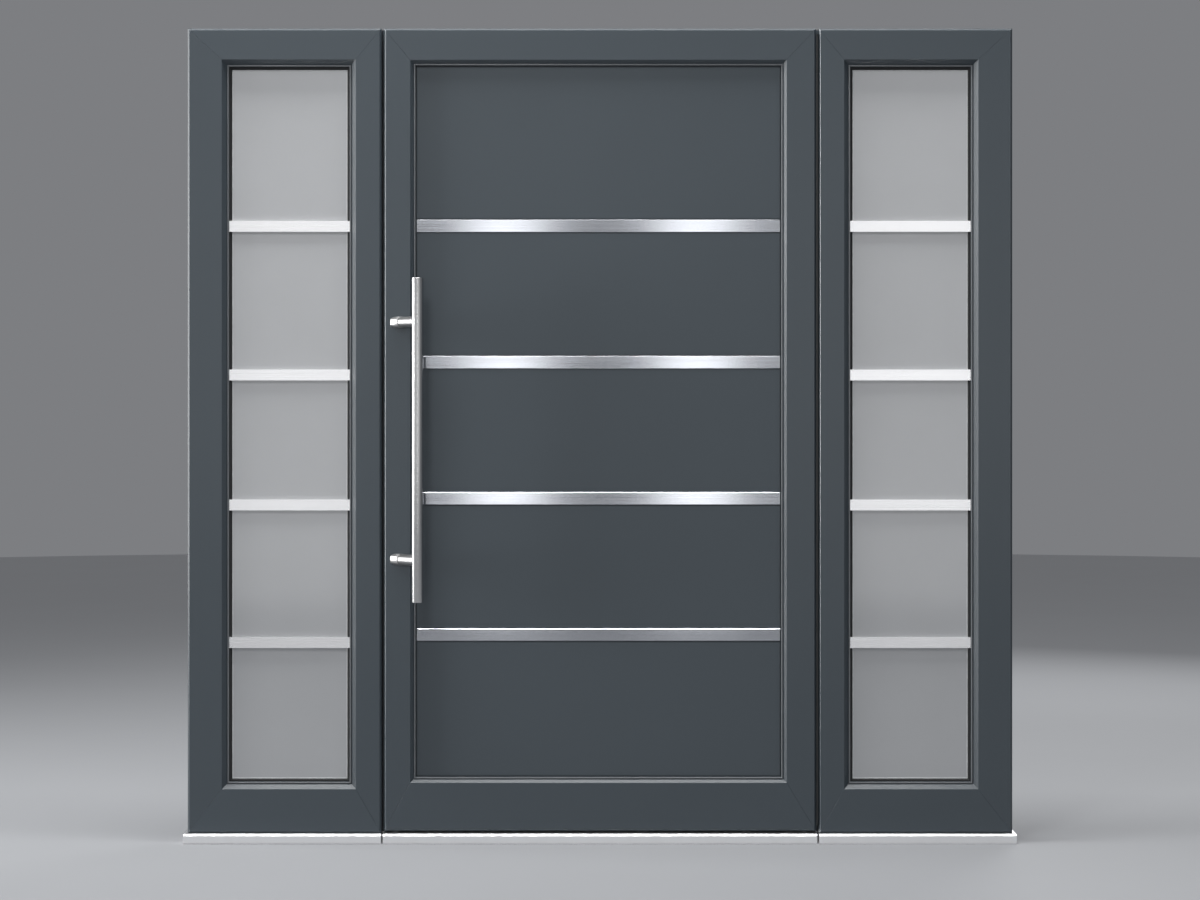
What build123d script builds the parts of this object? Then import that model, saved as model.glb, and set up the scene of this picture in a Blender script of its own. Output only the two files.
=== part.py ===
from build123d import *
from collections import namedtuple
import os

os.makedirs("parts", exist_ok=True)

# Entrance door with a fixed glazed sidelight on each hand, in aluminium.
# Millimetres. X runs to the right as seen from outside, Y into the building with the
# outer faces at Y = 0, Z up from the underside of the threshold.

# Overall layout
HEIGHT = 2100.0
LEAF_WIDTH = 1115.0
SIDELIGHT_WIDTH = 500.0
JOINT_GAP = 6.0
FRAME_DEPTH = 90.0
LEAF_DEPTH = 74.0
EDGE_CHAMFER = 5.0
MITRE_CHAMFER = 0.5

# Threshold strips
THRESHOLD_HEIGHT = 25.0
THRESHOLD_NOSE = 18.0
THRESHOLD_OVERHANG = 8.0
THRESHOLD_JOINT = 5.0
THRESHOLD_NOSE_CHAMFER = 4.0
THRESHOLD_GROOVE = 2.0
THRESHOLD_GROOVES = 3
THRESHOLD_FOOT = 3.0
UPSTAND_HEIGHT = 15.0
UPSTAND_THICKNESS = 11.0

# Face widths of the frame members
OUTER_STILE = 88.0
INNER_STILE = 66.0
SIDELIGHT_TOP_RAIL = 80.0
SIDELIGHT_BOTTOM_RAIL = 113.5
LATCH_STILE = 68.0
HINGE_STILE = 76.0
LEAF_TOP_RAIL = 81.0
LEAF_BOTTOM_RAIL = 125.0

# Moving leaf
LEAF_UNDERCUT = 5.0
LEAF_FLANGE = 28.0
LEAF_REBATE = 32.0

# Beads, gaskets and infills
BEAD_LIP = 4.5
BEAD_LIP_RISE = 1.8
BEAD_MITRE_GAP = 0.3
SIDELIGHT_BEAD_WIDTH = 17.0
SIDELIGHT_BEAD_SLOPE_DEPTH = 14.0
SIDELIGHT_BEAD_DEPTH = 20.0
LEAF_BEAD_WIDTH = 13.5
LEAF_BEAD_SLOPE_DEPTH = 12.5
INNER_BEAD_WIDTH = 16.0
INNER_BEAD_CHAMFER = 4.0
INFILL_CLEARANCE = 3.0
GASKET_REACH = 24.0
GASKET_CHAMFER = 3.0
GLASS_FRONT = 26.0
PANE = 6.0
CAVITY = 16.0
SPACER_WIDTH = 12.0
SPACER_INSET = 5.0
PANEL_FRONT = 16.0
PANEL_BACK = 58.0

# Brushed steel strips on the leaf panel
STRIP_HEIGHT = 32.0
STRIP_THICKNESS = 6.0
STRIP_PROUD = 1.0
STRIP_CHAMFER = 0.8
STRIP_SHADOW_GAP = 3.0
PANEL_GROOVE = 3.0
STRIP_COUNT = 4
STRIP_LOWEST = 535.4
STRIP_PITCH = 352.2

# Bars across the sidelight glass
BAR_HEIGHT = 28.0
BAR_FRONT = 18.0
BAR_LEVELS = (515.0, 870.6, 1206.7, 1591.0)

# Rebated frame behind the leaf
JAMB_WIDTH = 30.0
JAMB_FRONT = 34.0
HEAD_HEIGHT = 24.0
SEAL_WIDTH = 6.0
SEAL_SETBACK = 12.0
SEAL_DEPTH = 4.0
SEAL_PROUD = 1.0

# Continuous hinge in the right-hand joint
HINGE_Y = 3.0
KNUCKLE_RADIUS = 3.0
PIN_RADIUS = 1.5
PIN_CLEARANCE = 0.05
HINGE_PLATE = 1.5
HINGE_PLATE_REACH = 24.0
HINGE_NOTCH = 3.6
HINGE_BOTTOM = 45.0
KNUCKLE_COUNT = 20
KNUCKLE_PITCH = 102.0
KNUCKLE_GAP = 0.5

# Pull handle on the latch stile
BAR_RADIUS = 15.0
BAR_LENGTH = 830.0
BAR_CENTRE_Z = 1039.0
BAR_END_CHAMFER = 1.2
POST_RADIUS = 14.0
POST_COLLAR_RADIUS = 15.0
POST_COLLAR_LENGTH = 18.0
POST_LEVELS = {"lower": 731.0, "upper": 1342.0}
POST_FOOT_X = -523.5
BAR_OFFSET = 57.0

# Lock and inside lever
LOCK_Z = 1050.0
FACEPLATE = 3.0
FACEPLATE_WIDTH = 24.0
FACEPLATE_HEIGHT = 240.0
BOLT_WINDOW_WIDTH = 12.0
BOLT_WINDOWS = {"latch": (30.0, 34.0), "deadbolt": (-50.0, 44.0)}
BACKPLATE_WIDTH = 32.0
BACKPLATE_HEIGHT = 220.0
BACKPLATE_DROP = 55.0
BACKPLATE_THICKNESS = 8.0
BACKPLATE_CHAMFER = 1.5
ROSE_RADIUS = 14.0
ROSE_HEIGHT = 4.0
LEVER_RADIUS = 9.5
LEVER_STANDOFF = 41.0
LEVER_LENGTH = 132.0
LEVER_END_CHAMFER = 1.5

# Wall fixings in the outer stiles
FIXING_RADIUS = 4.5
FIXING_DEPTH = 40.0
FIXING_LEVELS = (350.0, 1750.0)
FIXING_Y = 40.0

# Hollow extrusions outside and inside, joined by a filled plastic insulating zone
WALL = 3.0
EDGE_WALL = 5.5
HARDWARE_WALL = 6.0
ZONE_FRONT = 32.0
ZONE_BACK = 48.0
LEAF_ZONE_BACK = 38.0
RECESS_FRONT = 34.0
RECESS_BACK = 46.0
RECESS_DEPTH = 1.0
LEAF_RECESS_FRONT = 29.5
LEAF_RECESS_BACK = 37.0

# Positions that follow from the layout
LEAF_EDGE = LEAF_WIDTH / 2
SIDE_EDGE = LEAF_EDGE + JOINT_GAP
OUTER_EDGE = SIDE_EDGE + SIDELIGHT_WIDTH
LEAF_BOTTOM = THRESHOLD_HEIGHT + LEAF_UNDERCUT
GLASS_BACK = GLASS_FRONT + 2 * PANE + CAVITY
HINGE_X = LEAF_EDGE + JOINT_GAP / 2
JAMB_INNER = SIDE_EDGE - JAMB_WIDTH
HEAD_BOTTOM = HEIGHT - HEAD_HEIGHT
POST_REACH = BAR_OFFSET * 2 ** 0.5

Outline = namedtuple("Outline", "x0 x1 z0 z1")


def inset(outline, left, right, bottom, top):
    """The outline with each side moved inwards by its own distance."""
    return Outline(outline.x0 + left, outline.x1 - right, outline.z0 + bottom, outline.z1 - top)


def inset_all(outline, distance):
    """The outline moved inwards by one distance on every side."""
    return inset(outline, distance, distance, distance, distance)


def front_plane(y):
    """The plane parallel to the door's face at depth y, with local X to the right and local Y up."""
    return Plane.XZ.offset(-y)


def draw(outline, mode=Mode.ADD):
    """Draws the outline as a rectangle in the sketch that is open."""
    with Locations(((outline.x0 + outline.x1) / 2, (outline.z0 + outline.z1) / 2)):
        Rectangle(outline.x1 - outline.x0, outline.z1 - outline.z0, mode=mode)


def slab(outline, y0, y1, mode=Mode.ADD):
    """A flat block of the outline from depth y0 to depth y1, in the part that is open."""
    with BuildSketch(front_plane(y0)) as face:
        draw(outline)
    extrude(face.sketch, amount=y0 - y1, mode=mode)


def ring(outer, inner, y0, y1, mode=Mode.ADD):
    """A rectangular ring between two outlines from depth y0 to depth y1."""
    with BuildSketch(front_plane(y0)) as face:
        draw(outer)
        draw(inner, mode=Mode.SUBTRACT)
    extrude(face.sketch, amount=y0 - y1, mode=mode)


def front_edges(part, outline):
    """The edges of the part's front face that lie on the outline."""
    face = part.faces().sort_by(Axis.Y)[0]
    on_side = []
    for edge in face.edges():
        middle = edge.position_at(0.5)
        if min(abs(middle.X - outline.x0), abs(middle.X - outline.x1),
               abs(middle.Z - outline.z0), abs(middle.Z - outline.z1)) < 0.01:
            on_side.append(edge)
    return on_side


def member_corners(outer, inner, side):
    """The four corners of one member of a mitred frame: outer edge first, then the opening's."""
    corners = {
        "left": ((outer.x0, outer.z0), (outer.x0, outer.z1), (inner.x0, inner.z1), (inner.x0, inner.z0)),
        "right": ((outer.x1, outer.z0), (outer.x1, outer.z1), (inner.x1, inner.z1), (inner.x1, inner.z0)),
        "top": ((outer.x0, outer.z1), (outer.x1, outer.z1), (inner.x1, inner.z1), (inner.x0, inner.z1)),
        "bottom": ((outer.x0, outer.z0), (outer.x1, outer.z0), (inner.x1, inner.z0), (inner.x0, inner.z0)),
    }
    return corners[side]


def cut_member(outer, inner, side, depth):
    """Keeps one member of the frame that is open, cut at its mitres."""
    with BuildSketch(Plane.XZ) as face:
        with BuildLine():
            Polyline(*member_corners(outer, inner, side), close=True)
        make_face()
    extrude(face.sketch, amount=-depth, mode=Mode.INTERSECT)


def chamber(outer, opening, y0, y1):
    """Hollows the extrusion that is open, a wall's thickness behind y0, before y1 and off the opening."""
    ring(outer, inset_all(opening, -WALL), y0 + WALL, y1 - WALL, mode=Mode.SUBTRACT)


def mitre_grooves(outer, inner):
    """Breaks the front edges of the four mitres, each with a fine V groove along its line."""
    for outer_x, inner_x in ((outer.x0, inner.x0), (outer.x1, inner.x1)):
        for outer_z, inner_z in ((outer.z0, inner.z0), (outer.z1, inner.z1)):
            start = Vector(outer_x, 0, outer_z)
            along = Vector(inner_x, 0, inner_z) - start
            with BuildSketch(Plane(origin=start, x_dir=(0, 1, 0), z_dir=along)) as groove:
                Rectangle(MITRE_CHAMFER * 2 ** 0.5, MITRE_CHAMFER * 2 ** 0.5, rotation=45)
            extrude(groove.sketch, amount=along.length, mode=Mode.SUBTRACT)


def mitre_gaps(outline, width, y0, y1):
    """Parts a ring of beads at its four corners by hairline gaps."""
    with BuildSketch(front_plane(y0)) as lines:
        for x, toward_x in ((outline.x0, 1), (outline.x1, -1)):
            for z, toward_z in ((outline.z0, 1), (outline.z1, -1)):
                with Locations((x + toward_x * width / 2, z + toward_z * width / 2)):
                    Rectangle(3 * width, BEAD_MITRE_GAP, rotation=45 * toward_x * toward_z)
    extrude(lines.sketch, amount=y0 - y1, mode=Mode.SUBTRACT)


def carry_round(opening, section_points):
    """Sweeps a section round an opening, mitred at its corners.

    The points are (distance inwards from the opening's edge, depth behind the outer face).
    """
    middle = (opening.x0 + opening.x1) / 2
    with BuildLine(front_plane(0)) as route:
        Polyline((middle, opening.z0), (opening.x1, opening.z0), (opening.x1, opening.z1),
                 (opening.x0, opening.z1), (opening.x0, opening.z0), (middle, opening.z0))
    start = Plane(origin=(middle, 0, opening.z0), x_dir=(0, 0, 1), z_dir=(1, 0, 0))
    with BuildSketch(start) as section:
        with BuildLine():
            Polyline(*[(inwards, -depth) for inwards, depth in section_points], close=True)
        make_face()
    sweep(section.sketch, path=route.wire(), transition=Transition.RIGHT)


def outer_bead(opening, width, slope_depth, depth):
    """A glazing bead round an opening: a slope from the face, then a raised lip with broken edges."""
    slope = width - BEAD_LIP
    lip_front = slope_depth - BEAD_LIP_RISE
    carry_round(opening, [(0, 0), (slope, slope_depth), (slope + BEAD_LIP_RISE, lip_front),
                          (width - BEAD_LIP_RISE, lip_front), (width, slope_depth), (width, depth), (0, depth)])
    mitre_gaps(opening, width, 0, depth)


def inner_bead(opening, y0, y1):
    """A square glazing bead on the inside, with its edge towards the room broken."""
    carry_round(opening, [(0, y0), (INNER_BEAD_WIDTH, y0), (INNER_BEAD_WIDTH, y1 - INNER_BEAD_CHAMFER),
                          (INNER_BEAD_WIDTH - INNER_BEAD_CHAMFER, y1), (0, y1)])
    mitre_gaps(opening, INNER_BEAD_WIDTH, y0, y1)


# The two fixed sidelights, alike but mirrored
for side, sign in (("left", -1), ("right", 1)):
    # The mitred frame stands on the threshold, with its wider stile against the wall.
    near, far = sorted((sign * SIDE_EDGE, sign * OUTER_EDGE))
    unit = Outline(near, far, THRESHOLD_HEIGHT, HEIGHT)
    stile_widths = {"left": OUTER_STILE, "right": INNER_STILE}
    if sign > 0:
        stile_widths = {"left": INNER_STILE, "right": OUTER_STILE}
    opening = inset(unit, stile_widths["left"], stile_widths["right"],
                    SIDELIGHT_BOTTOM_RAIL, SIDELIGHT_TOP_RAIL)
    wall_recess = (RECESS_DEPTH, 0) if sign < 0 else (0, RECESS_DEPTH)
    wall_side = "left" if sign < 0 else "right"
    door_side = "right" if sign < 0 else "left"

    with BuildPart() as sidelight_frame:
        ring(unit, opening, 0, FRAME_DEPTH)
        chamfer(front_edges(sidelight_frame, unit), EDGE_CHAMFER)
        mitre_grooves(unit, opening)
        ring(unit, inset(unit, *wall_recess, 0, RECESS_DEPTH), RECESS_FRONT, RECESS_BACK, mode=Mode.SUBTRACT)
        chamber(inset_all(unit, EDGE_WALL), opening, 0, ZONE_FRONT)
        chamber(inset_all(unit, WALL), opening, ZONE_BACK - WALL, FRAME_DEPTH)

    with BuildPart() as outer_stile:
        add(sidelight_frame.part)
        cut_member(unit, opening, wall_side, FRAME_DEPTH)
        for level in FIXING_LEVELS:
            with Locations(Plane(origin=(sign * OUTER_EDGE, FIXING_Y, level), z_dir=(sign, 0, 0))):
                Hole(FIXING_RADIUS, depth=FIXING_DEPTH)
    outer_stile.part.label = f"{side}_outer_stile"
    export_step(outer_stile.part, f"parts/{side}_outer_stile.step")

    with BuildPart() as inner_stile:
        add(sidelight_frame.part)
        cut_member(unit, opening, door_side, FRAME_DEPTH)
    inner_stile.part.label = f"{side}_inner_stile"
    export_step(inner_stile.part, f"parts/{side}_inner_stile.step")

    for rail_side in ("top", "bottom"):
        with BuildPart() as rail:
            add(sidelight_frame.part)
            cut_member(unit, opening, rail_side, FRAME_DEPTH)
        rail.part.label = f"{side}_{rail_side}_rail"
        export_step(rail.part, f"parts/{side}_{rail_side}_rail.step")

    with BuildPart() as bead:
        outer_bead(opening, SIDELIGHT_BEAD_WIDTH, SIDELIGHT_BEAD_SLOPE_DEPTH, SIDELIGHT_BEAD_DEPTH)
    bead.part.label = f"{side}_outer_bead"
    export_step(bead.part, f"parts/{side}_outer_bead.step")

    with BuildPart() as gasket:
        ring(inset_all(opening, INFILL_CLEARANCE), inset_all(opening, GASKET_REACH),
             SIDELIGHT_BEAD_DEPTH, GLASS_FRONT)
        chamfer(front_edges(gasket, inset_all(opening, GASKET_REACH)), GASKET_CHAMFER)
    gasket.part.label = f"{side}_gasket"
    export_step(gasket.part, f"parts/{side}_gasket.step")

    with BuildPart() as glass:
        for pane_front in (GLASS_FRONT, GLASS_FRONT + PANE + CAVITY):
            slab(inset_all(opening, INFILL_CLEARANCE), pane_front, pane_front + PANE)
    glass.part.label = f"{side}_glass"
    export_step(glass.part, f"parts/{side}_glass.step")

    with BuildPart() as spacer:
        ring(inset_all(opening, SPACER_INSET), inset_all(opening, SPACER_INSET + SPACER_WIDTH),
             GLASS_FRONT + PANE, GLASS_FRONT + PANE + CAVITY)
    spacer.part.label = f"{side}_glass_spacer"
    export_step(spacer.part, f"parts/{side}_glass_spacer.step")

    with BuildPart() as bars:
        sight = inset_all(opening, SIDELIGHT_BEAD_WIDTH)
        pane_edge = inset_all(opening, GASKET_REACH)
        for level in BAR_LEVELS:
            bottom, top = level - BAR_HEIGHT / 2, level + BAR_HEIGHT / 2
            slab(Outline(sight.x0, sight.x1, bottom, top), BAR_FRONT, SIDELIGHT_BEAD_DEPTH)
            slab(Outline(pane_edge.x0, pane_edge.x1, bottom, top), SIDELIGHT_BEAD_DEPTH, GLASS_FRONT)
    bars.part.label = f"{side}_glass_bars"
    export_step(bars.part, f"parts/{side}_glass_bars.step")

    with BuildPart() as room_bead:
        inner_bead(opening, GLASS_BACK, FRAME_DEPTH)
    room_bead.part.label = f"{side}_inner_bead"
    export_step(room_bead.part, f"parts/{side}_inner_bead.step")


def threshold_strip(x0, x1):
    """A flat sill strip with a chamfered, undercut nose and a few grip grooves on the nose."""
    with BuildSketch(Plane.YZ.offset(x0)) as section:
        with BuildLine():
            Polyline((-THRESHOLD_NOSE + THRESHOLD_FOOT, 0), (FRAME_DEPTH, 0), (FRAME_DEPTH, THRESHOLD_HEIGHT),
                     (THRESHOLD_NOSE_CHAMFER - THRESHOLD_NOSE, THRESHOLD_HEIGHT),
                     (-THRESHOLD_NOSE, THRESHOLD_HEIGHT - THRESHOLD_NOSE_CHAMFER),
                     (-THRESHOLD_NOSE, THRESHOLD_FOOT), (-THRESHOLD_NOSE + THRESHOLD_FOOT, THRESHOLD_FOOT),
                     close=True)
        make_face()
        groove_pitch = (THRESHOLD_NOSE - THRESHOLD_NOSE_CHAMFER) / (THRESHOLD_GROOVES + 1)
        for index in range(THRESHOLD_GROOVES):
            groove_y = THRESHOLD_NOSE_CHAMFER - THRESHOLD_NOSE + (index + 1) * groove_pitch
            with Locations((groove_y, THRESHOLD_HEIGHT)):
                Rectangle(THRESHOLD_GROOVE, THRESHOLD_GROOVE, mode=Mode.SUBTRACT)
    extrude(section.sketch, amount=x1 - x0)


# Threshold in three lengths, under the sidelights and the leaf
for side, sign in (("left", -1), ("right", 1)):
    with BuildPart() as side_threshold:
        threshold_strip(*sorted((sign * SIDE_EDGE, sign * (OUTER_EDGE + THRESHOLD_OVERHANG))))
    side_threshold.part.label = f"{side}_threshold"
    export_step(side_threshold.part, f"parts/{side}_threshold.step")

with BuildPart() as door_threshold:
    half_length = SIDE_EDGE - THRESHOLD_JOINT
    threshold_strip(-half_length, half_length)
    # The upstand behind the leaf keeps out the rain and stops between the jambs.
    slab(Outline(-JAMB_INNER, JAMB_INNER, THRESHOLD_HEIGHT, THRESHOLD_HEIGHT + UPSTAND_HEIGHT),
         FRAME_DEPTH - UPSTAND_THICKNESS, FRAME_DEPTH)
door_threshold.part.label = "door_threshold"
export_step(door_threshold.part, "parts/door_threshold.step")

# Rebated jambs and head that the leaf closes against
seal_outer = Outline(-SIDE_EDGE + SEAL_SETBACK, SIDE_EDGE - SEAL_SETBACK, THRESHOLD_HEIGHT, HEIGHT - SEAL_SETBACK)
seal_inner = inset(seal_outer, SEAL_WIDTH, SEAL_WIDTH, 0, SEAL_WIDTH)


def seal_path(y0, mode):
    """The seal's three straight runs, up one jamb, across the head and down the other."""
    with BuildSketch(front_plane(y0)) as runs:
        draw(seal_outer)
        draw(seal_inner, mode=Mode.SUBTRACT)
    extrude(runs.sketch, amount=y0 - JAMB_FRONT - SEAL_DEPTH, mode=mode)


for jamb_name, sign in (("latch_jamb", -1), ("hinge_jamb", 1)):
    with BuildPart() as jamb:
        jamb_x = sorted((sign * JAMB_INNER, sign * SIDE_EDGE))
        slab(Outline(*jamb_x, THRESHOLD_HEIGHT, HEAD_BOTTOM), JAMB_FRONT, FRAME_DEPTH)
        seal_path(JAMB_FRONT, Mode.SUBTRACT)
        if sign < 0:
            with BuildSketch(Plane.YZ.offset(-JAMB_INNER)):
                with Locations(((LEAF_FLANGE + LEAF_DEPTH) / 2, LOCK_Z)):
                    SlotOverall(FACEPLATE_HEIGHT, FACEPLATE_WIDTH, rotation=90)
            extrude(amount=-FACEPLATE, mode=Mode.SUBTRACT)
    jamb.part.label = jamb_name
    export_step(jamb.part, f"parts/{jamb_name}.step")

with BuildPart() as door_head:
    slab(Outline(-SIDE_EDGE, SIDE_EDGE, HEAD_BOTTOM, HEIGHT), JAMB_FRONT, FRAME_DEPTH)
    seal_path(JAMB_FRONT, Mode.SUBTRACT)
door_head.part.label = "door_head"
export_step(door_head.part, "parts/door_head.step")

with BuildPart() as frame_seal:
    seal_path(JAMB_FRONT - SEAL_PROUD, Mode.ADD)
frame_seal.part.label = "frame_seal"
export_step(frame_seal.part, "parts/frame_seal.step")


def lock_plate(x, amount):
    """A thin plate with round ends set in an edge, with windows for the bolts."""
    with BuildSketch(Plane.YZ.offset(x)) as plate:
        with Locations(((LEAF_FLANGE + LEAF_DEPTH) / 2, LOCK_Z)):
            SlotOverall(FACEPLATE_HEIGHT, FACEPLATE_WIDTH, rotation=90)
        for window_z, window_height in BOLT_WINDOWS.values():
            with Locations(((LEAF_FLANGE + LEAF_DEPTH) / 2, LOCK_Z + window_z)):
                Rectangle(BOLT_WINDOW_WIDTH, window_height, mode=Mode.SUBTRACT)
    extrude(plate.sketch, amount=amount)


with BuildPart() as strike_plate:
    lock_plate(-JAMB_INNER, -FACEPLATE)
strike_plate.part.label = "strike_plate"
export_step(strike_plate.part, "parts/strike_plate.step")

# Moving leaf: four mitred members round an insulated panel
leaf = Outline(-LEAF_EDGE, LEAF_EDGE, LEAF_BOTTOM, HEIGHT)
leaf_opening = inset(leaf, LATCH_STILE, HINGE_STILE, LEAF_BOTTOM_RAIL, LEAF_TOP_RAIL)
leaf_body = inset(leaf, LEAF_REBATE, LEAF_REBATE, 0, LEAF_REBATE)

with BuildPart() as leaf_frame:
    ring(leaf, leaf_opening, 0, LEAF_FLANGE)
    chamfer(front_edges(leaf_frame, leaf), EDGE_CHAMFER)
    mitre_grooves(leaf, leaf_opening)
    ring(leaf_body, leaf_opening, LEAF_FLANGE, LEAF_DEPTH)
    ring(leaf_body, inset(leaf_body, RECESS_DEPTH, RECESS_DEPTH, 0, RECESS_DEPTH),
         LEAF_RECESS_FRONT, LEAF_RECESS_BACK, mode=Mode.SUBTRACT)
    chamber(inset_all(leaf, EDGE_WALL), leaf_opening, 0, LEAF_FLANGE)
    chamber(inset_all(leaf_body, HARDWARE_WALL), leaf_opening, LEAF_ZONE_BACK - WALL, LEAF_DEPTH)

for name, member_side in (("leaf_latch_stile", "left"), ("leaf_hinge_stile", "right"),
                          ("leaf_top_rail", "top"), ("leaf_bottom_rail", "bottom")):
    with BuildPart() as member:
        add(leaf_frame.part)
        cut_member(leaf, leaf_opening, member_side, LEAF_DEPTH)
        if member_side == "left":
            with BuildSketch(Plane.YZ.offset(leaf_body.x0)):
                with Locations(((LEAF_FLANGE + LEAF_DEPTH) / 2, LOCK_Z)):
                    SlotOverall(FACEPLATE_HEIGHT, FACEPLATE_WIDTH, rotation=90)
            extrude(amount=FACEPLATE, mode=Mode.SUBTRACT)
    member.part.label = name
    export_step(member.part, f"parts/{name}.step")

with BuildPart() as leaf_outer_bead:
    outer_bead(leaf_opening, LEAF_BEAD_WIDTH, LEAF_BEAD_SLOPE_DEPTH, PANEL_FRONT)
leaf_outer_bead.part.label = "leaf_outer_bead"
export_step(leaf_outer_bead.part, "parts/leaf_outer_bead.step")

with BuildPart() as leaf_inner_bead:
    inner_bead(leaf_opening, PANEL_BACK, LEAF_DEPTH)
leaf_inner_bead.part.label = "leaf_inner_bead"
export_step(leaf_inner_bead.part, "parts/leaf_inner_bead.step")

panel_sight = inset_all(leaf_opening, LEAF_BEAD_WIDTH)
panel_field = inset_all(panel_sight, PANEL_GROOVE)
strip_levels = [STRIP_LOWEST + index * STRIP_PITCH for index in range(STRIP_COUNT)]
strip_front = PANEL_FRONT - STRIP_PROUD
channel_back = strip_front + STRIP_THICKNESS

with BuildPart() as door_panel:
    slab(inset_all(leaf_opening, INFILL_CLEARANCE), PANEL_FRONT, PANEL_BACK)
    ring(panel_sight, panel_field, PANEL_FRONT, channel_back, mode=Mode.SUBTRACT)
    for level in strip_levels:
        half = STRIP_HEIGHT / 2 + STRIP_SHADOW_GAP
        slab(Outline(panel_field.x0, panel_field.x1, level - half, level + half),
             PANEL_FRONT, channel_back, mode=Mode.SUBTRACT)
door_panel.part.label = "door_panel"
export_step(door_panel.part, "parts/door_panel.step")

with BuildPart() as panel_strips:
    for level in strip_levels:
        slab(Outline(panel_field.x0, panel_field.x1, level - STRIP_HEIGHT / 2, level + STRIP_HEIGHT / 2),
             strip_front, channel_back)
    long_edges = panel_strips.edges().filter_by(Axis.X).group_by(Axis.Y)[0]
    chamfer(long_edges, STRIP_CHAMFER)
panel_strips.part.label = "panel_strips"
export_step(panel_strips.part, "parts/panel_strips.step")

# Pull handle: a round bar on two round posts set at 45 degrees
BAR_X = POST_FOOT_X + BAR_OFFSET

with BuildPart() as pull_bar:
    with BuildSketch(Plane.XY.offset(BAR_CENTRE_Z - BAR_LENGTH / 2)):
        with Locations((BAR_X, -BAR_OFFSET)):
            Circle(BAR_RADIUS)
    extrude(amount=BAR_LENGTH)
    chamfer(pull_bar.edges().filter_by(GeomType.CIRCLE), BAR_END_CHAMFER)
pull_bar.part.label = "pull_bar"
export_step(pull_bar.part, "parts/pull_bar.step")

for level_name, level in POST_LEVELS.items():
    foot = Plane(origin=(POST_FOOT_X, 0, level), x_dir=(0, 0, 1), z_dir=(1, -1, 0))
    with BuildPart() as post:
        with BuildSketch(foot.offset(-BAR_OFFSET)):
            Circle(POST_RADIUS)
        extrude(amount=BAR_OFFSET + POST_REACH)
        with BuildSketch(foot.offset(-BAR_OFFSET)):
            Circle(POST_COLLAR_RADIUS)
        extrude(amount=BAR_OFFSET + POST_COLLAR_LENGTH)
        # The foot is sawn flush with the stile, and the head is coped to the bar.
        split(bisect_by=Plane(origin=(0, 0, 0), z_dir=(0, -1, 0)), keep=Keep.TOP)
        with BuildSketch(Plane.XY.offset(level - 2 * BAR_RADIUS)):
            with Locations((BAR_X, -BAR_OFFSET)):
                Circle(BAR_RADIUS)
        extrude(amount=4 * BAR_RADIUS, mode=Mode.SUBTRACT)
    post.part.label = f"{level_name}_handle_post"
    export_step(post.part, f"parts/{level_name}_handle_post.step")

with BuildPart() as lock_faceplate:
    lock_plate(leaf_body.x0, FACEPLATE)
lock_faceplate.part.label = "lock_faceplate"
export_step(lock_faceplate.part, "parts/lock_faceplate.step")

# Inside lever on a narrow backplate
LEVER_X = (leaf_body.x0 + leaf_opening.x0) / 2

with BuildPart() as inside_backplate:
    with BuildSketch(front_plane(LEAF_DEPTH)):
        with Locations((LEVER_X, LOCK_Z - BACKPLATE_DROP)):
            SlotOverall(BACKPLATE_HEIGHT, BACKPLATE_WIDTH, rotation=90)
    extrude(amount=-BACKPLATE_THICKNESS)
    chamfer(inside_backplate.faces().sort_by(Axis.Y)[-1].edges(), BACKPLATE_CHAMFER)
inside_backplate.part.label = "inside_backplate"
export_step(inside_backplate.part, "parts/inside_backplate.step")

with BuildPart() as inside_lever:
    plate_back = LEAF_DEPTH + BACKPLATE_THICKNESS
    spindle = Plane(origin=(LEVER_X, plate_back, LOCK_Z), x_dir=(1, 0, 0), z_dir=(0, 1, 0))
    with BuildSketch(spindle):
        Circle(ROSE_RADIUS)
    extrude(amount=ROSE_HEIGHT)
    # The round grip is mitred to its neck at a right angle.
    with BuildLine(Plane(origin=(LEVER_X, plate_back, LOCK_Z), z_dir=(0, 0, 1))) as grip_route:
        Polyline((0, 0), (0, LEVER_STANDOFF), (LEVER_LENGTH, LEVER_STANDOFF))
    with BuildSketch(spindle) as grip_section:
        Circle(LEVER_RADIUS)
    sweep(grip_section.sketch, path=grip_route.wire(), transition=Transition.RIGHT)
    chamfer(inside_lever.faces().sort_by(Axis.X)[-1].edges(), LEVER_END_CHAMFER)
inside_lever.part.label = "inside_lever"
export_step(inside_lever.part, "parts/inside_lever.step")


def hinge_half(sign, first, bore):
    """One half of the continuous hinge: a plate on an edge, with every second knuckle."""
    root_x = HINGE_X + sign * KNUCKLE_RADIUS
    plate_x = sorted((root_x, root_x - sign * HINGE_PLATE))
    top = HINGE_BOTTOM + KNUCKLE_COUNT * KNUCKLE_PITCH
    slab(Outline(*plate_x, HINGE_BOTTOM, top), HINGE_Y + HINGE_NOTCH, HINGE_Y + HINGE_PLATE_REACH)
    for index in range(first, KNUCKLE_COUNT, 2):
        start = HINGE_BOTTOM + index * KNUCKLE_PITCH + KNUCKLE_GAP / 2
        length = KNUCKLE_PITCH - KNUCKLE_GAP
        slab(Outline(*plate_x, start, start + length), HINGE_Y, HINGE_Y + HINGE_NOTCH)
        with BuildSketch(Plane.XY.offset(start)) as knuckle:
            with Locations((HINGE_X, HINGE_Y)):
                Circle(KNUCKLE_RADIUS)
        extrude(knuckle.sketch, amount=length)
        with BuildSketch(Plane.XY.offset(start)) as hole:
            with Locations((HINGE_X, HINGE_Y)):
                Circle(bore)
        extrude(hole.sketch, amount=length, mode=Mode.SUBTRACT)


# Continuous hinge: plates on the leaf's edge and the sidelight's edge, and one long pin
with BuildPart() as hinge_leaf_half:
    hinge_half(-1, 0, PIN_RADIUS + PIN_CLEARANCE)
hinge_leaf_half.part.label = "hinge_leaf_half"
export_step(hinge_leaf_half.part, "parts/hinge_leaf_half.step")

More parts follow.
